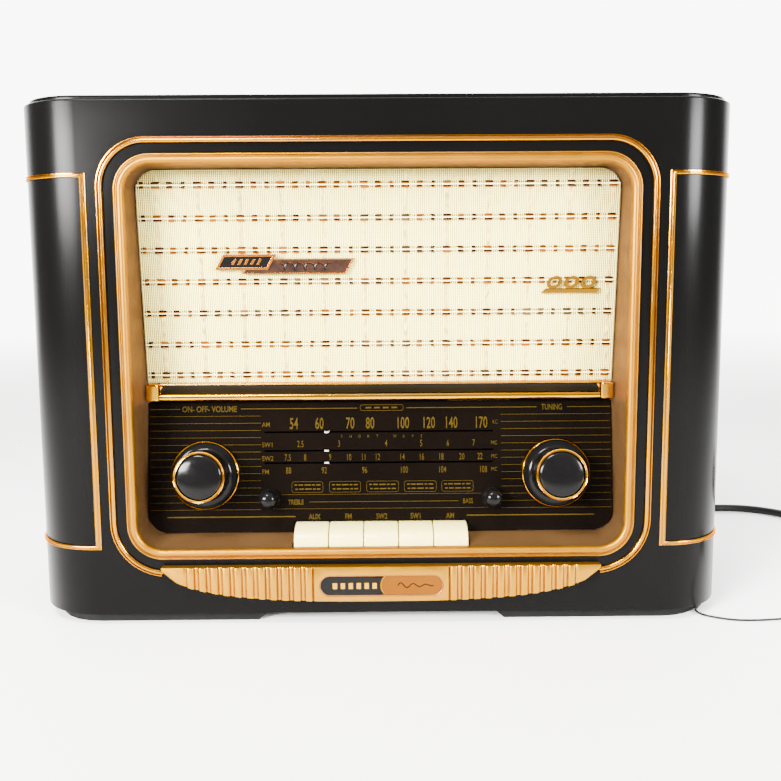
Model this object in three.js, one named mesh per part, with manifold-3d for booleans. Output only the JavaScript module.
// Horizontal table radio in the style of the 1950s: a black wooden cabinet with
// bent front corners, a gold bezel round a V-shaped recess (speaker cloth above,
// dial below), two large knobs, two tone knobs, five piano keys and a mains lead.
//
// Millimetres. +X right, +Y towards the back, +Z up. The origin is on the floor,
// under the middle of the cabinet. Depths are counted from the front face.

import * as THREE from 'three';
import Module from 'manifold-3d';
import { mergeVertices } from 'three/addons/utils/BufferGeometryUtils.js';

const wasm = await Module();
wasm.setup();

// ---------------------------------------------------------------- dimensions

const GAP = 0.3; // clearance between pieces that touch

// Cabinet
const CABINET_WIDTH = 394;
const CABINET_DEPTH = 178;
const CORNER_RADIUS = 37;
const BEND_STEPS = 12; // flats that make up each bent front corner
const WALL = 9;
const WALL_BOTTOM = 6.5;
const WALL_TOP = 288;
const LID_TOP = 290.5;
const LID_INSET = 3;
const BOARD_THICKNESS = 9;
const COVER_FRONT = 169.3; // depth of the rear cover's inner face
const COVER_THICKNESS = 2.5;

// Feet
const FOOT_HEIGHT = WALL_BOTTOM - GAP;
const FOOT_INSET = 8;
const FOOT_INNER = 70; // distance of a foot's inner end from the middle
const FOOT_SLOPE = 7;
const FOOT_DEPTH = 52;

// Bezel and its recess
const BEZEL_HALF_WIDTH = 140.7;
const BEZEL_BOTTOM = 38.7;
const BEZEL_TOP = 259.7;
const BEZEL_RADIUS = 19.5;
const RECESS_DEPTH = 34;
const FLOOR_RISE = 3.9; // the recess floor climbs towards the dial
const DIAL_EDGE_DEPTH = 17.6;

// The cloth leans forward and the dial leans back: their planes form a V.
const CLOTH_TILT = THREE.MathUtils.degToRad(6);
const CLOTH_FOOT = { depth: 29, z: 135.5 };
const CLOTH_HALF_WIDTH = 133.8;
const CLOTH_HEIGHT = 118;
const DIAL_TILT = THREE.MathUtils.degToRad(9);
const DIAL_CENTRE = { depth: 23, z: 82.5 };
const DIAL_HALF_WIDTH = 133.9;
const DIAL_BOTTOM = -34.3;
const DIAL_TOP = 40.6;
const DIAL_THICKNESS = 2;
const SLOT_LINES = [23.1, 12.3, 5.3]; // heights of the three pointer slots
const SLOT_ENDS = [-67, 65];
const SLOT_HEIGHT = 1;
const PANEL_CORNER = 12;

// Controls, in the dial's own plane
const KNOB_X = 100.85;
const KNOB_Z = -1.35;
const TONE_X = 64;
const TONE_Z = -15.2;
const POINTER_X = -31.3;
const KEY_NAMES = ['key_aux', 'key_fm', 'key_sw2', 'key_sw1', 'key_am'];
const KEY_PITCH = 19.7;
const KEY_WIDTH = 19.1;
const KEY_PIVOT = { depth: 62, z: 50 };
const KEY_OPENING = 50; // half width of the opening that the keys pass through
const KEY_OPENING_TOP = -28.2; // in the dial's plane
const KEY_ROD_RADIUS = 1.5;
const KEY_BORE_RADIUS = 1.9;

// Trims on the front face
const BEAD_X = 148.3;
const BEAD_TOP = 266.9;
const BEAD_BOTTOM = 30.5;
const BEAD_END = 122.4;
const INLAY_X = 157.1;
const INLAY_BOTTOM = 45.4;
const INLAY_TOP = 248.7;
const INLAY_WIDTH = 3.7;
const INLAY_PROUD = 1.2;
const PLATE_HALF_WIDTH = 122;
const PLATE_TOP = 35;
const PLATE_DROP = 19.9;
const PLATE_FRONT = -6.5;
const PLATE_MIDDLE = 37; // half width of the plain part that carries the badge
const FLUTE_PITCH = 6.55;
const FLUTE_FIRST = 41.6; // middle of the first flute on each side
const FLUTE_HALF_WIDTH = 2;
const FLUTE_RISE = 1.2; // the flutes stand this far above the ground between them
const FLUTES_PER_SIDE = 11;
const BADGE_Z = 24.2;
const BADGE_HALF_WIDTH = 34.6;
const BADGE_HEIGHT = 12.2;
const BADGE_DEPTH = 1; // the badge lies in a recess of this depth

// Cords
const MAINS_DIAMETER = 5.8;
const WIRE_DIAMETER = 1.3;
const GLAND = { x: 100, z: 24 };
const GLAND_END = 200;
const AERIAL_OUTLET = { x: 150, z: 46, depth: 183 };
const MAINS_COIL = { x: 388, depth: 208, radius: 32, halfWidth: 11.6, height: 11.6 };
const WIRE_COIL = { x: 266.2, depth: 18.8, radius: 7.5, halfWidth: 2.6, height: 6.5 };

// --------------------------------------------------------------- small tools

// A depth behind the front face becomes a Y of the part's frame.
const yAt = (depth) => depth - CABINET_DEPTH / 2;

function signedVolume(positions, index) {
  const a = new THREE.Vector3();
  const b = new THREE.Vector3();
  const c = new THREE.Vector3();
  let volume = 0;
  for (let i = 0; i < index.length; i += 3) {
    a.fromArray(positions, 3 * index[i]);
    b.fromArray(positions, 3 * index[i + 1]);
    c.fromArray(positions, 3 * index[i + 2]);
    volume += a.dot(b.cross(c)) / 6;
  }
  return volume;
}

// Merges shared corners and turns the faces outwards.
function tidy(geometry) {
  const bare = geometry.clone();
  for (const name of Object.keys(bare.attributes)) {
    if (name !== 'position') bare.deleteAttribute(name);
  }
  const merged = mergeVertices(bare, 1e-4);
  const index = Array.from(merged.index.array);
  if (signedVolume(merged.attributes.position.array, index) < 0) {
    for (let i = 0; i < index.length; i += 3) {
      [index[i], index[i + 1]] = [index[i + 1], index[i]];
    }
  }
  merged.setIndex(index);
  return merged;
}

function toSolid(geometry) {
  const ready = tidy(geometry);
  return new wasm.Manifold(
    new wasm.Mesh({
      numProp: 3,
      vertProperties: Float32Array.from(ready.attributes.position.array),
      triVerts: Uint32Array.from(ready.index.array),
    }),
  );
}

function fromSolid(solid) {
  const mesh = solid.getMesh();
  const geometry = new THREE.BufferGeometry();
  geometry.setAttribute('position', new THREE.BufferAttribute(mesh.vertProperties, 3));
  geometry.setIndex(Array.from(mesh.triVerts));
  return geometry;
}

function join(...geometries) {
  return fromSolid(geometries.map(toSolid).reduce((all, next) => all.add(next)));
}

function cut(geometry, ...tools) {
  return fromSolid(tools.map(toSolid).reduce((all, next) => all.subtract(next), toSolid(geometry)));
}

function common(first, second) {
  return fromSolid(toSolid(first).intersect(toSolid(second)));
}

// A box from its lowest to its highest corner.
function block(x0, x1, y0, y1, z0, z1) {
  const box = new THREE.BoxGeometry(x1 - x0, y1 - y0, z1 - z0);
  return box.translate((x0 + x1) / 2, (y0 + y1) / 2, (z0 + z1) / 2);
}

// A cylinder along Y.
function pegY(x, z, radius, y0, y1, sides = 20) {
  const peg = new THREE.CylinderGeometry(radius, radius, y1 - y0, sides);
  return peg.translate(x, (y0 + y1) / 2, z);
}

// A cylinder along X.
function pegX(y, z, radius, x0, x1, sides = 16) {
  const peg = new THREE.CylinderGeometry(radius, radius, x1 - x0, sides);
  return peg.rotateZ(Math.PI / 2).translate((x0 + x1) / 2, y, z);
}

// A shape drawn in X and Z, given thickness along Y from y0 to y1.
function plateY(shape, y0, y1, curveSegments = 6) {
  const plate = new THREE.ExtrudeGeometry(shape, {
    depth: y1 - y0,
    bevelEnabled: false,
    curveSegments,
  });
  return plate.rotateX(Math.PI / 2).translate(0, y1, 0);
}

// A shape drawn in Y and Z, given thickness along X from x0 to x1.
function plateX(points, x0, x1) {
  const shape = new THREE.Shape(points.map(([y, z]) => new THREE.Vector2(y, z)));
  const plate = new THREE.ExtrudeGeometry(shape, { depth: x1 - x0, bevelEnabled: false });
  const turn = new THREE.Matrix4().set(0, 0, 1, x0, 1, 0, 0, 0, 0, 1, 0, 0, 0, 0, 0, 1);
  return plate.applyMatrix4(turn);
}

// A solid of revolution about the Y line through (x, z); profile is [radius, y].
function turned(profile, x, z, segments = 24) {
  const points = profile.map(([radius, y]) => new THREE.Vector2(radius, y));
  return new THREE.LatheGeometry(points, segments).translate(x, 0, z);
}

// Skins a row of loops with equal point counts. A ring joins its last loop to its
// first; otherwise both end loops, which are convex, are closed with a fan.
function skin(loops, ring = false) {
  const count = loops[0].length;
  const positions = loops.flat(2);
  const index = [];
  const last = ring ? loops.length : loops.length - 1;
  for (let row = 0; row < last; row += 1) {
    const here = row * count;
    const next = ((row + 1) % loops.length) * count;
    for (let i = 0; i < count; i += 1) {
      const j = (i + 1) % count;
      index.push(here + i, here + j, next + j, here + i, next + j, next + i);
    }
  }
  if (!ring) {
    const top = (loops.length - 1) * count;
    for (let i = 1; i < count - 1; i += 1) {
      index.push(0, i + 1, i, top, top + i, top + i + 1);
    }
  }
  const geometry = new THREE.BufferGeometry();
  geometry.setAttribute('position', new THREE.Float32BufferAttribute(positions, 3));
  geometry.setIndex(index);
  return geometry;
}

// Points of an arc in the plane, both ends included.
function arc(cx, cy, radius, from, to, steps) {
  const points = [];
  for (let i = 0; i <= steps; i += 1) {
    const angle = THREE.MathUtils.degToRad(from + ((to - from) * i) / steps);
    points.push([cx + radius * Math.cos(angle), cy + radius * Math.sin(angle)]);
  }
  return points;
}

// A rounded rectangle as a loop of points, four equal corners.
function roundedLoop(left, right, bottom, top, radius, steps = 6) {
  return [
    ...arc(right - radius, top - radius, radius, 0, 90, steps),
    ...arc(left + radius, top - radius, radius, 90, 180, steps),
    ...arc(left + radius, bottom + radius, radius, 180, 270, steps),
    ...arc(right - radius, bottom + radius, radius, 270, 360, steps),
  ];
}

function shapeOf(points) {
  return new THREE.Shape(points.map(([x, y]) => new THREE.Vector2(x, y)));
}

// A tube of a given diameter along a smooth line through the points.
function tube(points, diameter, steps, sides = 8) {
  const line = new THREE.CatmullRomCurve3(points.map((p) => new THREE.Vector3(...p)));
  const section = shapeOf(arc(0, 0, diameter / 2, 0, 360 - 360 / sides, sides - 1));
  return new THREE.ExtrudeGeometry(section, { steps, extrudePath: line });
}

const radio = new THREE.Group();
const dial = new THREE.Group(); // its X and Z lie in the dial's face, +Y goes inwards
dial.position.set(0, yAt(DIAL_CENTRE.depth), DIAL_CENTRE.z);
dial.rotation.x = -DIAL_TILT;
const grille = new THREE.Group(); // the same for the cloth's face
grille.position.set(0, yAt(CLOTH_FOOT.depth), CLOTH_FOOT.z);
grille.rotation.x = CLOTH_TILT;
radio.add(dial, grille);

const finishes = {
  lacquer: { color: 0x1b1918, roughness: 0.42, metalness: 0 },
  satinGold: { color: 0xd9a663, roughness: 0.38, metalness: 0.8 },
  brightGold: { color: 0xe8b45c, roughness: 0.12, metalness: 1 },
  copper: { color: 0xb96a3c, roughness: 0.3, metalness: 0.9 },
  dialPlastic: { color: 0x14110f, roughness: 0.35, metalness: 0 },
  knobPlastic: { color: 0x0c0c0d, roughness: 0.12, metalness: 0 },
  ivory: { color: 0xf1e9cf, roughness: 0.3, metalness: 0 },
  cloth: { color: 0xe7dfc0, roughness: 0.95, metalness: 0 },
  board: { color: 0x6e5238, roughness: 0.85, metalness: 0 },
  backPlastic: { color: 0x1e1e1f, roughness: 0.7, metalness: 0 },
  rubber: { color: 0x111111, roughness: 0.8, metalness: 0 },
  steel: { color: 0xa9adb0, roughness: 0.35, metalness: 1 },
  phenolic: { color: 0x4b3a1d, roughness: 0.6, metalness: 0 },
  whitePaint: { color: 0xf4f2ea, roughness: 0.5, metalness: 0 },
};

function add(name, geometry, finish, parent = radio) {
  const mesh = new THREE.Mesh(tidy(geometry), new THREE.MeshStandardMaterial(finishes[finish]));
  mesh.name = name;
  parent.add(mesh);
}

// ------------------------------------------------------------------- cabinet

// The cabinet's plan, inset from the outer faces, ending at a given depth.
function planLoop(inset, rearDepth, z, steps = BEND_STEPS) {
  const half = CABINET_WIDTH / 2 - inset;
  const bend = CORNER_RADIUS - inset;
  const centre = CABINET_WIDTH / 2 - CORNER_RADIUS;
  const frontLeft = arc(-centre, CORNER_RADIUS, bend, 180, 270, steps);
  const frontRight = arc(centre, CORNER_RADIUS, bend, 270, 360, steps);
  const rear = [[half, rearDepth], [-half, rearDepth]];
  return [...frontLeft, ...frontRight, ...rear].map(([x, depth]) => [x, yAt(depth), z]);
}

function cabinetWrap() {
  const outer = planLoop(0, CABINET_DEPTH, 0);
  const inner = planLoop(WALL, CABINET_DEPTH, 0);
  // The loops start at the left bend and end at the rear: the wrap is open behind.
  const outside = [outer[outer.length - 1], ...outer.slice(0, -1)];
  const inside = [inner[inner.length - 1], ...inner.slice(0, -1)].reverse();
  const shape = shapeOf([...outside, ...inside].map(([x, y]) => [x, y]));
  const walls = new THREE.ExtrudeGeometry(shape, {
    depth: WALL_TOP - WALL_BOTTOM,
    bevelEnabled: false,
  }).translate(0, 0, WALL_BOTTOM);
  const window = roundedLoop(-138.2, 138.2, 39.8, 257.3, 16);
  return cut(walls, plateY(shapeOf(window), yAt(-2), yAt(WALL + 2)));
}

function cabinetTop() {
  const fit = WALL + GAP;
  const flange = WALL_TOP + GAP;
  return skin([
    planLoop(fit, COVER_FRONT - GAP, WALL_TOP - BOARD_THICKNESS),
    planLoop(fit, COVER_FRONT - GAP, flange),
    planLoop(LID_INSET, CABINET_DEPTH - LID_INSET, flange),
    planLoop(LID_INSET, CABINET_DEPTH - LID_INSET, LID_TOP - 0.8),
    planLoop(LID_INSET + 0.8, CABINET_DEPTH - LID_INSET - 0.8, LID_TOP),
  ]);
}

function cabinetBase() {
  const fit = WALL + GAP;
  const top = WALL_BOTTOM + BOARD_THICKNESS;
  return skin([
    planLoop(fit, COVER_FRONT - GAP, WALL_BOTTOM),
    planLoop(fit, COVER_FRONT - GAP, top),
  ]);
}

// The foot at one corner; its plan follows the cabinet's bend and its inner end slopes.
function foot(side, atFront) {
  const bend = CORNER_RADIUS - FOOT_INSET;
  const centre = CABINET_WIDTH / 2 - CORNER_RADIUS;
  const loop = (z) => {
    const inner = FOOT_INNER - (z > 0 ? FOOT_SLOPE : 0);
    const corner = arc(centre, CORNER_RADIUS, bend, 0, -90, 6);
    const plan = [[centre + bend, FOOT_DEPTH], ...corner, [inner, FOOT_INSET], [inner, FOOT_DEPTH]];
    return plan.map(([x, depth]) => {
      const placed = atFront ? depth : CABINET_DEPTH - depth;
      return [side * x, yAt(placed), z];
    });
  };
  return skin([loop(0), loop(FOOT_HEIGHT)]);
}

function rearCover() {
  const half = CABINET_WIDTH / 2 - WALL - GAP;
  const outline = shapeOf(roundedLoop(-half, half, WALL_BOTTOM + 0.6, WALL_TOP - GAP, 4, 3));
  const plate = plateY(outline, yAt(COVER_FRONT), yAt(COVER_FRONT + COVER_THICKNESS));
  const through = [yAt(COVER_FRONT - 1), yAt(COVER_FRONT + COVER_THICKNESS + 1)];
  const window = (x0, x1, z0, z1) => block(x0, x1, ...through, z0, z1);
  const vents = [96, 108, 120, 132, 190, 202, 214, 226].flatMap((z) => (
    [-120, -60, 0, 60, 120].map((x) => window(x - 22, x + 22, z - 2, z + 2))
  ));
  return cut(
    plate,
    ...vents,
    window(-152, -88, 32, 62), // sockets
    window(136, 164, 36, 56), // aerial
    pegY(GLAND.x, GLAND.z, 6.2, ...through, 12), // mains lead
  );
}

add('cabinet_wrap', cabinetWrap(), 'lacquer');
add('cabinet_top', cabinetTop(), 'lacquer');
add('cabinet_base', cabinetBase(), 'lacquer');
add('rear_cover', rearCover(), 'backPlastic');
add('foot_front_left', foot(-1, true), 'rubber');
add('foot_front_right', foot(1, true), 'rubber');
add('foot_rear_left', foot(-1, false), 'rubber');
add('foot_rear_right', foot(1, false), 'rubber');

// ------------------------------------------------------- bezel and gold trims

// One contour of the bezel: inset from its outer edge, at a depth, floor raised.
function bezelLoop(inset, depth, raised, radius) {
  const half = BEZEL_HALF_WIDTH - inset;
  const loop = roundedLoop(-half, half, BEZEL_BOTTOM + inset + raised, BEZEL_TOP - inset, radius);
  return loop.map(([x, z]) => [x, yAt(depth), z]);
}

function bezel() {
  const lip = [
    bezelLoop(0, -GAP, 0, BEZEL_RADIUS),
    bezelLoop(0.3, -1.6, 0, BEZEL_RADIUS - 0.3),
    bezelLoop(1.6, -2.4, 0, BEZEL_RADIUS - 1.6),
    bezelLoop(4.2, -2.4, 0, BEZEL_RADIUS - 4.2),
    bezelLoop(5.4, -1.2, 0, BEZEL_RADIUS - 5.4),
    bezelLoop(5.7, 0.6, 0, BEZEL_RADIUS - 5.9),
  ];
  const tunnel = [
    bezelLoop(6.2, DIAL_EDGE_DEPTH, FLOOR_RISE - 0.8, 11.5),
    bezelLoop(6.5, RECESS_DEPTH, FLOOR_RISE - 1.2, 10.2),
    bezelLoop(4.7, RECESS_DEPTH, FLOOR_RISE - 1.2, 12),
    bezelLoop(4.2, -GAP, 0, BEZEL_RADIUS - 4.2),
  ];
  const keyway = block(
    -KEY_OPENING, KEY_OPENING,
    yAt(1.8), yAt(RECESS_DEPTH + 1),
    BEZEL_BOTTOM - 1, BEZEL_BOTTOM + 14,
  );
  return cut(skin([...lip, ...tunnel], true), keyway);
}

// The double bead runs round the bezel from one end of the fluted plate to the other.
function outerBead() {
  const low = 29;
  const high = 25;
  const right = [
    ...arc(BEAD_X - low, BEAD_BOTTOM + low, low, -84, 0, 7),
    ...arc(BEAD_X - high, BEAD_TOP - high, high, 0, 90, 7),
  ];
  right[0] = [BEAD_END, BEAD_BOTTOM];
  const left = right.map(([x, z]) => [-x, z]).reverse();
  const path = [...right, ...left].map(([x, z]) => new THREE.Vector2(x, z));
  // Across the band, outer side first: [offset, height above the face].
  const profile = [[2, 0.3], [1.8, 1.2], [0.8, 1.6], [-1.4, 1.6], [-2, 0.3]];
  return skin(path.map((point, i) => {
    const before = path[Math.max(i - 1, 0)];
    const after = path[Math.min(i + 1, path.length - 1)];
    const along = after.clone().sub(before).normalize();
    return profile.map(([offset, height]) => [
      point.x + along.y * offset,
      yAt(-height),
      point.y - along.x * offset,
    ]);
  }));
}

// A flat strip that comes from the rear along the side, round the bend, up or down
// the front and back again. side is -1 for the left one, 1 for the right one.
function inlay(side) {
  const half = INLAY_WIDTH / 2;
  const centre = CABINET_WIDTH / 2 - CORNER_RADIUS;
  // The horizontal run from the rear forwards, as [x, depth, normal angle].
  const run = [[CABINET_WIDTH / 2, CABINET_DEPTH - 4, 0]];
  for (let i = 0; i <= BEND_STEPS; i += 1) {
    const radians = (Math.PI / 2) * (i / BEND_STEPS);
    const x = centre + CORNER_RADIUS * Math.cos(radians);
    run.push([x, CORNER_RADIUS - CORNER_RADIUS * Math.sin(radians), radians]);
  }
  const strip = (z, up) => run.map(([x, depth, angle]) => ({
    point: [x, depth, z], normal: [Math.cos(angle), Math.sin(angle)], across: [0, up],
  }));
  const mitre = (z, up) => ({ point: [INLAY_X, 0, z], normal: [0, 1], across: [1, up] });
  const stations = [
    ...strip(INLAY_BOTTOM, 1),
    mitre(INLAY_BOTTOM, 1),
    mitre(INLAY_TOP, -1),
    ...strip(INLAY_TOP, -1).reverse(),
  ];
  return skin(stations.map(({ point, normal, across }) => {
    const corner = (w, height) => [
      side * (point[0] + normal[0] * height + across[0] * w),
      yAt(point[1] - normal[1] * height),
      point[2] + across[1] * w,
    ];
    return [
      corner(-half, GAP), corner(-half, INLAY_PROUD), corner(half, INLAY_PROUD), corner(half, GAP),
    ];
  }));
}

// The plate under the bezel: straight above, boat-shaped below.
function plateOutline() {
  const steps = 36;
  const points = [];
  for (let i = 0; i <= steps; i += 1) {
    // Close points where the outline turns up at its ends.
    const x = -PLATE_HALF_WIDTH * Math.cos((Math.PI * i) / steps);
    const bow = Math.sqrt(Math.max(0, 1 - Math.abs(x / PLATE_HALF_WIDTH) ** 3));
    const least = 0.02; // keeps the ends from closing to a point
    points.push([x, PLATE_TOP - PLATE_DROP * Math.max(bow, least)]);
  }
  return [...points, [PLATE_HALF_WIDTH, PLATE_TOP], [-PLATE_HALF_WIDTH, PLATE_TOP]];
}

function badgeLoop(half, height, steps = 8) {
  const radius = height / 2 - 0.01;
  return roundedLoop(-half, half, BADGE_Z - height / 2, BADGE_Z + height / 2, radius, steps);
}

function flutedPlate() {
  const front = yAt(PLATE_FRONT);
  const outline = shapeOf(plateOutline());
  const ground = plateY(outline, front + FLUTE_RISE, yAt(-GAP));
  const raised = plateY(outline, front, front + FLUTE_RISE + 0.5);
  const [before, behind] = [front - 1, yAt(0)];
  let bars = toSolid(block(-PLATE_MIDDLE, PLATE_MIDDLE, before, behind, 0, PLATE_TOP + 1));
  for (let i = 0; i < FLUTES_PER_SIDE; i += 1) {
    for (const side of [-1, 1]) {
      const centre = side * (FLUTE_FIRST + i * FLUTE_PITCH);
      const [left, right] = [centre - FLUTE_HALF_WIDTH, centre + FLUTE_HALF_WIDTH];
      bars = bars.add(toSolid(block(left, right, before, behind, 0, PLATE_TOP - 0.5)));
    }
  }
  const flutes = common(raised, fromSolid(bars));
  const badge = shapeOf(badgeLoop(BADGE_HALF_WIDTH, BADGE_HEIGHT));
  const recess = plateY(badge, before, front + BADGE_DEPTH);
  return cut(join(ground, flutes), recess);
}

function badgePlate() {
  const loop = badgeLoop(BADGE_HALF_WIDTH - GAP, BADGE_HEIGHT - 2 * GAP);
  const front = yAt(PLATE_FRONT);
  return plateY(shapeOf(loop), front + 0.1, front + BADGE_DEPTH - GAP);
}

add('bezel', bezel(), 'satinGold');
add('outer_bead', outerBead(), 'satinGold');
add('inlay_left', inlay(-1), 'satinGold');
add('inlay_right', inlay(1), 'satinGold');
add('fluted_plate', flutedPlate(), 'satinGold');
add('badge_plate', badgePlate(), 'copper');

// ------------------------------------------------------- cloth and dial faces

// A panel in a tilted face, with round corners at its top or its bottom only.
function tiltedPanel(half, bottom, top, radius, roundTop) {
  const steps = 6;
  if (roundTop) {
    return shapeOf([
      [-half, bottom], [half, bottom],
      ...arc(half - radius, top - radius, radius, 0, 90, steps),
      ...arc(-half + radius, top - radius, radius, 90, 180, steps),
    ]);
  }
  const opening = KEY_OPENING + GAP;
  return shapeOf([
    [half, top], [-half, top],
    ...arc(-half + radius, bottom + radius, radius, 180, 270, steps),
    [-opening, bottom], [-opening, KEY_OPENING_TOP],
    [opening, KEY_OPENING_TOP], [opening, bottom],
    ...arc(half - radius, bottom + radius, radius, 270, 360, steps),
  ]);
}

function hole(shape, x, z, radius, sides = 16) {
  shape.holes.push(shapeOf(arc(x, z, radius, 0, 360 / sides - 360, sides - 1)));
}

const SPEAKER = { x: 66, z: 58, radius: 48 };

function bafflePanel() {
  const shape = tiltedPanel(CLOTH_HALF_WIDTH - 0.4, -1, CLOTH_HEIGHT - 1.4, PANEL_CORNER + 1, true);
  for (const side of [-1, 1]) hole(shape, side * SPEAKER.x, SPEAKER.z, SPEAKER.radius, 24);
  return plateY(shape, 1.3, 7.3);
}

function clothPanel() {
  const shape = tiltedPanel(CLOTH_HALF_WIDTH, -1.2, CLOTH_HEIGHT, PANEL_CORNER, true);
  return plateY(shape, 0, 1);
}

function dialPanel() {
  const shape = tiltedPanel(DIAL_HALF_WIDTH, DIAL_BOTTOM, DIAL_TOP, PANEL_CORNER, false);
  for (const side of [-1, 1]) {
    hole(shape, side * KNOB_X, KNOB_Z, 4.5);
    hole(shape, side * TONE_X, TONE_Z, 3.6);
  }
  const [left, right] = SLOT_ENDS;
  for (const z of SLOT_LINES) {
    const [low, high] = [z - SLOT_HEIGHT / 2, z + SLOT_HEIGHT / 2];
    shape.holes.push(shapeOf([[left, low], [left, high], [right, high], [right, low]]));
  }
  return plateY(shape, 0, DIAL_THICKNESS);
}

function dialBacking() {
  const shape = shapeOf([[-128, -21], [128, -21], [128, 29], [-128, 29]]);
  for (const side of [-1, 1]) {
    hole(shape, side * KNOB_X, KNOB_Z, 3.4);
    hole(shape, side * TONE_X, TONE_Z, 2.6);
  }
  return plateY(shape, 9, 11);
}

// The polished bar in the valley of the V, and the satin blocks at its ends.
function dividerBar() {
  const profile = [
    [28.4, 134.3], [23.4, 134.3], [22.6, 133.8], [22.6, 132.9], [24.6, 131.8], [25.4, 130],
    [25.2, 128.3], [23.4, 127], [22.3, 125.8], [22.2, 124.8], [23, 123.9], [28.4, 123.7],
  ];
  return plateX(profile.map(([depth, z]) => [yAt(depth), z]), -125.7, 125.7);
}

function barEnd(side) {
  const [inner, outer] = [126, CLOTH_HALF_WIDTH];
  const profile = [
    [28.4, 134.2], [22.4, 134.2], [21.8, 133.4], [21.8, 124.6], [22.6, 123.8], [28.4, 123.8],
  ];
  const points = profile.map(([depth, z]) => [yAt(depth), z]);
  return side > 0 ? plateX(points, inner, outer) : plateX(points, -outer, -inner);
}

// A bar with slanted ends: its upper edge is moved to the right.
function slantedBar(left, right, bottom, top, slant) {
  return shapeOf([[left, bottom], [right, bottom], [right + slant, top], [left + slant, top]]);
}

// Two slanted bars side by side, the second a little lower, as one casting.
function ornamentLeft() {
  const first = slantedBar(-91.7, -62, 63.5, 72.3, 5);
  const second = slantedBar(-76.5, -18.6, 61, 69.6, 4.8);
  return join(plateY(first, -3.4, -GAP), plateY(second, -2.4, -GAP));
}

// A slim bar that carries three small rings.
function ornamentRight() {
  const bar = slantedBar(91, 122, 49.4, 52.4, 2.8);
  const ringZ = 56;
  const rings = [98.5, 108, 117.5].map((x) => {
    const ring = shapeOf(arc(x, ringZ, 4.1, 0, 330, 11));
    hole(ring, x, ringZ, 1.9, 8);
    return plateY(ring, -1.8, -GAP);
  });
  return join(plateY(bar, -2.2, -GAP), ...rings);
}

function speaker(side) {
  const profile = [
    [0, 22], [9, 22], [12, 20], [44, 8.8], [47, 7.7], [55, 7.7], [55, 9.7], [46, 11.4],
    [22, 28], [25, 28], [25, 44], [0, 44],
  ];
  return turned(profile, side * SPEAKER.x, SPEAKER.z, 24);
}

add('speaker_cloth', clothPanel(), 'cloth', grille);
add('baffle_board', bafflePanel(), 'board', grille);
add('ornament_left', ornamentLeft(), 'copper', grille);
add('ornament_right', ornamentRight(), 'brightGold', grille);
add('speaker_left', speaker(-1), 'steel', grille);
add('speaker_right', speaker(1), 'steel', grille);
add('divider_bar', dividerBar(), 'brightGold');
add('bar_end_left', barEnd(-1), 'satinGold');
add('bar_end_right', barEnd(1), 'satinGold');
add('dial_panel', dialPanel(), 'dialPlastic', dial);
add('dial_backing', dialBacking(), 'dialPlastic', dial);

// ------------------------------------------------------------------ controls

// A large knob in three pieces that turn together: the skirt with its shaft, the
// gold rim, and the black cap inside the rim.
function knobSkirt(x, shaftEnd) {
  const profile = [
    [0, -17.4], [13.2, -17.4], [13.6, -16.8], [13.6, -4.2], [17.6, -2.6], [18.6, -3.2],
    [19.7, -2.6], [19.7, -0.6], [7, -0.6], [3, -0.6], [3, shaftEnd], [0, shaftEnd],
  ];
  return turned(profile, x, KNOB_Z);
}

function knobRim(x) {
  const profile = [
    [12.9, -17.7], [14.5, -17.7], [14.5, -21.2], [14.1, -21.9], [13.3, -21.9], [12.9, -21.4],
    [12.9, -17.7],
  ];
  return turned(profile, x, KNOB_Z);
}

function knobCap(x) {
  const profile = [[0, -22.6], [7, -22.2], [12.2, -21.2], [12.6, -20.6], [12.6, -17.7], [0, -17.7]];
  return turned(profile, x, KNOB_Z);
}

function toneKnob(x) {
  const profile = [
    [0, -12.2], [2.6, -11.9], [4.3, -10.8], [4.9, -9.2], [5.2, -4.4], [6.1, -3.2], [6.1, -0.6],
    [2.2, -0.6], [2.2, 17], [0, 17],
  ];
  return turned(profile, x, TONE_Z, 18);
}

for (const [name, side, shaftEnd] of [['volume', -1, 20], ['tuning', 1, 40]]) {
  add(`${name}_knob_skirt`, knobSkirt(side * KNOB_X, shaftEnd), 'knobPlastic', dial);
  add(`${name}_knob_rim`, knobRim(side * KNOB_X), 'brightGold', dial);
  add(`${name}_knob_cap`, knobCap(side * KNOB_X), 'knobPlastic', dial);
}
add('treble_knob', toneKnob(-TONE_X), 'knobPlastic', dial);
add('bass_knob', toneKnob(TONE_X), 'knobPlastic', dial);

// A piano key: the ivory cap in front and a lever that turns on the key rod.
function key(x) {
  const cap = [
    [22, 53.6], [18.5, 54.1], [6, 51.7], [3.6, 50.3], [2.4, 48.2], [2.2, 43.8], [4.4, 43.8],
    [5.6, 47.8], [17, 50.6], [22, 50.4],
  ];
  const lever = [[20, 52.8], [66, 53], [66, 47], [58, 47], [50, 49.6], [20, 50.8]];
  const half = KEY_WIDTH / 2;
  const place = (points) => points.map(([depth, z]) => [yAt(depth), z]);
  const rod = pegX(yAt(KEY_PIVOT.depth), KEY_PIVOT.z, KEY_BORE_RADIUS, x - 10, x + 10, 12);
  const bar = join(plateX(place(cap), x - half, x + half), plateX(place(lever), x - 4, x + 4));
  return cut(bar, rod);
}

KEY_NAMES.forEach((name, i) => {
  add(name, key((i - (KEY_NAMES.length - 1) / 2) * KEY_PITCH), 'ivory');
});

// The bank behind the keys: a switch box whose two ears hold the key rod.
function keySwitchBank() {
  const ears = [-1, 1].map((side) => {
    const inner = side * 52.6;
    const outer = side * 55;
    return block(Math.min(inner, outer), Math.max(inner, outer), yAt(57), yAt(72), 43, 57);
  });
  const rod = pegX(yAt(KEY_PIVOT.depth), KEY_PIVOT.z, KEY_ROD_RADIUS, -54, 54, 12);
  return join(block(-55, 55, yAt(70), yAt(96), 41, 58), ...ears, rod);
}

add('key_switch_bank', keySwitchBank(), 'steel');

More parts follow.
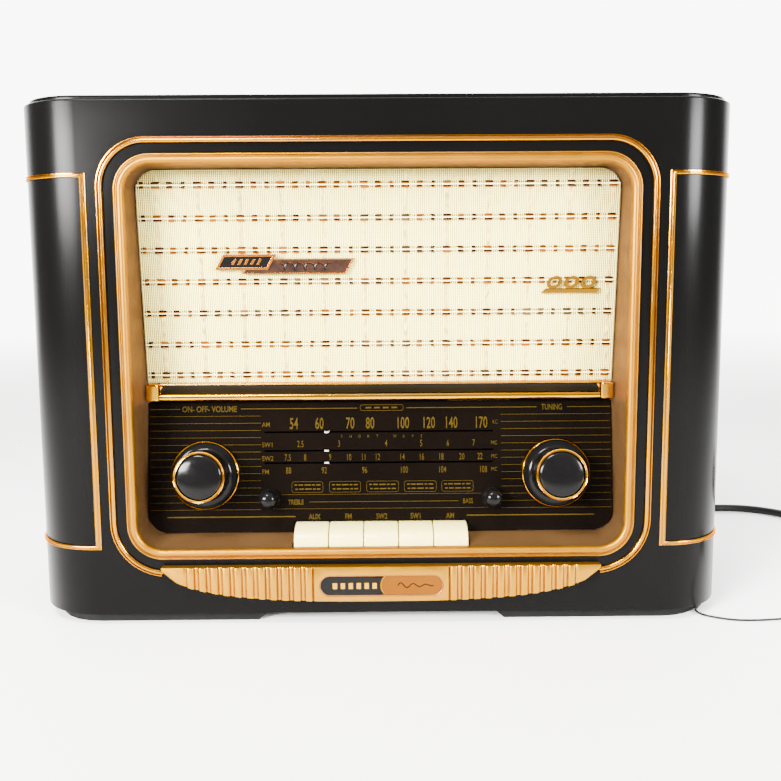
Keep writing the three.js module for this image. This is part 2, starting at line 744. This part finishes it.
// Potentiometers: cans bored for the knobs' shafts.
function pot(x, z, radius, bore, front, back) {
  const profile = [
    [bore, front], [bore + 2.6, front], [bore + 2.6, front + 4], [radius, front + 4],
    [radius, back], [0, back], [0, back - 1.5], [bore, back - 1.5], [bore, front],
  ];
  return turned(profile, x, z, 16);
}

function toneControls() {
  const strap = shapeOf([[-72, -23], [72, -23], [72, -18.6], [-72, -18.6]]);
  const cans = [-1, 1].map((side) => pot(side * TONE_X, TONE_Z, 7.5, 2.5, 11.5, 24));
  return join(plateY(strap, 16, 17.5), ...cans);
}

add('volume_control', pot(-KNOB_X, KNOB_Z, 12, 3.3, 11.5, 27), 'steel', dial);
add('tone_controls', toneControls(), 'steel', dial);

// ------------------------------------------------------------- tuning drive

const DRUM = { x: 60, z: 12, radius: 35, front: 28, back: 33 };
const RAIL = { y: 8, z: 32, radius: 1.4 };
const PULLEY = { x: 92, z: 31, radius: 5, y: 13.4 };
const CORD_Y = 14.6;

function pointerCarriage() {
  const blade = block(POINTER_X - 1.2, POINTER_X + 1.2, 2.4, 3.6, 2, 30);
  const body = block(POINTER_X - 7, POINTER_X + 7, 2.4, 11.6, 29.4, 35);
  const bore = pegX(RAIL.y, RAIL.z, RAIL.radius + 0.35, POINTER_X - 9, POINTER_X + 9, 12);
  return cut(join(blade, body), bore);
}

function pulley(side) {
  const { radius, z, y } = PULLEY;
  const profile = [
    [0, y - 2], [radius + 1, y - 2], [radius - 0.6, y - 0.4], [radius - 0.6, y + 3],
    [radius + 1, y + 5], [0, y + 5],
  ];
  return turned(profile, side * PULLEY.x, z, 16);
}

// The cord leaves the drum, runs over both pulleys and returns to the drum.
function dialCord() {
  const { x, z, radius } = PULLEY;
  const over = radius + 0.9;
  const left = arc(-x, z, over, 243, 100, 6).map(([px, pz]) => [px, CORD_Y, pz]);
  const right = arc(x, z, over, 80, -6, 4).map(([px, pz]) => [px, CORD_Y, pz]);
  const points = [
    [48, 26.4, -24.6], [20, 22.5, -15.5], [-20, 18, -3.5], [-60, 14.9, 12], ...left,
    [-60, CORD_Y, 36.4], [-30, CORD_Y, 36.4], [0, CORD_Y, 36.4], [30, CORD_Y, 36.4],
    [60, CORD_Y, 36.4], ...right, [93.5, 19, 18], [94.8, 24, 8], [96, 26.4, 2],
  ];
  return tube(points, 0.9, 60, 6);
}

function tuningDrum() {
  const { x, z, radius, front, back } = DRUM;
  const profile = [
    [0, front - 3], [3, front - 3], [3, front], [radius, front], [radius - 1, front + 1.6],
    [radius - 1, back - 1.6], [radius, back], [3, back], [3, 62], [0, 62],
  ];
  return turned(profile, x, z, 24);
}

// The moving plates of the tuning capacitor: half discs on a sleeve.
function capacitorRotor() {
  const { x, z } = DRUM;
  const sleeve = new THREE.LatheGeometry(
    [[3.4, 38], [5.4, 38], [5.4, 56], [3.4, 56], [3.4, 38]].map(([r, y]) => new THREE.Vector2(r, y)),
    14,
  ).translate(x, 0, z);
  const half = shapeOf([...arc(x, z, 15, -90, 90, 10), ...arc(x, z, 4.6, 90, -90, 6)]);
  const plates = [40, 45, 50].map((y) => plateY(half, y, y + 1.2));
  return join(sleeve, ...plates);
}

function capacitorFrame() {
  const { x, z } = DRUM;
  const [low, high] = [z - 19, z + 19];
  const wall = (y) => {
    const shape = shapeOf([[x - 19, low], [x + 19, low], [x + 19, high], [x - 19, high]]);
    hole(shape, x, z, 3.5);
    return plateY(shape, y, y + 1.5);
  };
  const floor = block(x - 19, x + 19, 35, 60.5, low, low + 1.5);
  const stator = shapeOf([...arc(x, z, 16, 95, 265, 10), ...arc(x, z, 6.5, 265, 95, 6)]);
  const plates = [42.6, 47.6].map((y) => plateY(stator, y, y + 1.2));
  const post = block(x - 18.5, x - 15.6, 35.5, 60, z - 3, z + 3);
  return join(wall(35), wall(59), floor, post, ...plates);
}

add('pointer', pointerCarriage(), 'whitePaint', dial);
add('pointer_rail', pegX(RAIL.y, RAIL.z, RAIL.radius, -78, 84, 12), 'steel', dial);
add('pulley_left', pulley(-1), 'steel', dial);
add('pulley_right', pulley(1), 'steel', dial);
add('dial_cord', dialCord(), 'cloth', dial);
add('tuning_drum', tuningDrum(), 'phenolic', dial);
add('capacitor_rotor', capacitorRotor(), 'steel', dial);
add('capacitor_frame', capacitorFrame(), 'steel', dial);

// --------------------------------------------------------- chassis and supply

function chassis() {
  const floor = WALL_BOTTOM + BOARD_THICKNESS + GAP;
  const tray = block(-175, 175, yAt(62), yAt(152), floor, floor + 1.6);
  const lips = [62, 150.4].map((d) => block(-175, 175, yAt(d), yAt(d + 1.6), floor, floor + 10));
  return join(tray, ...lips);
}

function transformer() {
  const base = 17.9;
  const core = block(-150, -104, yAt(98), yAt(134), base, base + 38);
  const winding = block(-143, -111, yAt(88), yAt(144), base + 8, base + 30);
  return join(core, winding);
}

const SOCKETS = { places: [-142, -128, -112, -98], z: 47, radius: 4.6, bore: 1.6 };

// The socket strip seen through the rear cover: a body with four round sockets.
function socketStrip() {
  const { places, z, radius, bore } = SOCKETS;
  const body = block(-151, -89, yAt(158), yAt(171), z - 14, z + 14);
  const sockets = places.map((x) => pegY(x, z, radius, yAt(170), yAt(179), 12));
  const bores = places.map((x) => pegY(x, z, bore, yAt(174), yAt(180), 8));
  return cut(join(body, ...sockets), ...bores);
}

// The aerial terminal: a block with a knurled post for a wire or an outdoor aerial.
function aerialTerminal() {
  const body = block(137, 163, yAt(160), yAt(172.5), 37, 55);
  const { x, z, depth } = AERIAL_OUTLET;
  const post = pegY(x, z, 3.6, yAt(172), yAt(depth), 12);
  const cap = pegY(x + 7, z, 4.2, yAt(172), yAt(depth + 1.5), 12);
  return join(body, post, cap);
}

add('chassis', chassis(), 'steel');
add('circuit_board', block(-90, 130, yAt(104), yAt(152), 29, 30.6), 'phenolic');
add('mains_transformer', transformer(), 'steel');
add('socket_strip', socketStrip(), 'backPlastic');
add('aerial_terminal', aerialTerminal(), 'backPlastic');

// --------------------------------------------------------------------- cords

// Points are [x, depth, z] on the cord's middle line.
const MAINS_ROUTE = [
  [100, 200, 24], [100.3, 206, 23.6], [101.5, 214, 21.2], [104, 222, 16.6], [108.5, 230.5, 10.6],
  [115, 238.5, 5.8], [124, 245.5, 3.4], [136, 251, 2.95], [151, 254.5, 2.95], [170, 255.5, 2.95],
  [190, 254, 2.95], [210, 250.5, 2.95], [230, 246, 2.95], [250, 242, 2.95], [270.3, 239.8, 2.95],
  [284.1, 239, 2.95], [295, 236.6, 2.95], [303.5, 232.6, 2.95], [311.5, 226.8, 2.95],
  [318.6, 219.8, 2.95], [327, 210.6, 2.95], [336, 200.4, 2.95], [344.5, 191.2, 2.95],
];
const WIRE_ROUTE = [
  [150, 183.5, 46], [150.3, 187, 45.6], [151.2, 191.5, 42.5], [152.6, 195.5, 35.5],
  [154.6, 198.5, 25], [157.5, 200.8, 13], [162, 202.2, 4.2], [168.5, 202.6, 0.9],
  [178, 201.5, 0.7], [188, 198, 0.7], [196, 191, 0.7], [200.5, 181, 0.7], [202, 168, 0.7],
  [202.2, 150, 0.7], [201.8, 130, 0.7], [201.4, 110, 0.7], [201, 90, 0.7], [200.4, 72, 0.7],
  [198.6, 57, 0.7], [195.8, 44, 0.7], [192.4, 33.5, 0.7], [188.4, 25, 0.7], [184.8, 19.2, 0.7],
  [182.6, 15, 0.7], [182.5, 11, 0.7], [184.6, 7.2, 0.7], [188.6, 4, 0.7], [194.5, 0.8, 0.7],
  [200.5, -1.2, 0.7], [208, -1.9, 0.7], [217.9, -1.3, 0.7], [231.7, 0.9, 0.7], [244, 3.8, 0.7],
];

const placed = (route) => route.map(([x, depth, z]) => [x, yAt(depth), z]);

// One closed ring of a coil's outer shape, with a flat foot and a narrower top.
function coilRing({ x, depth, radius, halfWidth, height }) {
  const shoulder = height * 0.55;
  const profile = [
    [radius - halfWidth, 0.05], [radius + halfWidth, 0.05], [radius + halfWidth, shoulder],
    [radius + halfWidth * 0.75, height], [radius - halfWidth * 0.75, height],
    [radius - halfWidth, shoulder], [radius - halfWidth, 0.05],
  ].map(([r, z]) => new THREE.Vector2(r, z));
  return new THREE.LatheGeometry(profile, 24).rotateX(Math.PI / 2).translate(x, yAt(depth), 0);
}

function strainRelief() {
  const y = (depth) => yAt(depth);
  const profile = [
    [0, y(158)], [8, y(158)], [8, y(168.9)], [5.8, y(169)], [5.8, y(172)], [8, y(172.2)],
    [7.4, y(176)], [4.4, y(178)], [3.6, y(GLAND_END - GAP)], [0, y(GLAND_END - GAP)],
  ];
  return turned(profile, GLAND.x, GLAND.z, 16);
}

// A moulded plug with two flat blades, lying on the floor beside the coil.
const PLUG = { x: 441, depth: 222, z: 8.5, length: 32 };

function mainsPlug() {
  const ring = (along, half, tall) => {
    const loop = roundedLoop(-half, half, -tall, tall, Math.min(half, tall) * 0.6, 3);
    return loop.map(([x, z]) => [PLUG.x + x, yAt(PLUG.depth + along), PLUG.z + z]);
  };
  const body = skin([
    ring(0, 4, 4), ring(8, 5, 5), ring(12, 11, 7.6), ring(26, 12.2, 8.2), ring(PLUG.length, 11, 7.2),
  ]);
  const blades = [-6.35, 6.35].map((x) => block(
    PLUG.x + x - 0.75, PLUG.x + x + 0.75,
    yAt(PLUG.depth + PLUG.length - 2), yAt(PLUG.depth + PLUG.length + 16),
    PLUG.z - 3.2, PLUG.z + 3.2,
  ));
  return join(body, ...blades);
}

add('strain_relief', strainRelief(), 'rubber');
add('mains_cord', tube(placed(MAINS_ROUTE), MAINS_DIAMETER, 40, 8), 'rubber');
add('mains_coil', coilRing(MAINS_COIL), 'rubber');
add('mains_plug', mainsPlug(), 'rubber');
add('aerial_wire', tube(placed(WIRE_ROUTE), WIRE_DIAMETER, 64, 8), 'rubber');
add('aerial_coil', coilRing(WIRE_COIL), 'rubber');

export default radio;
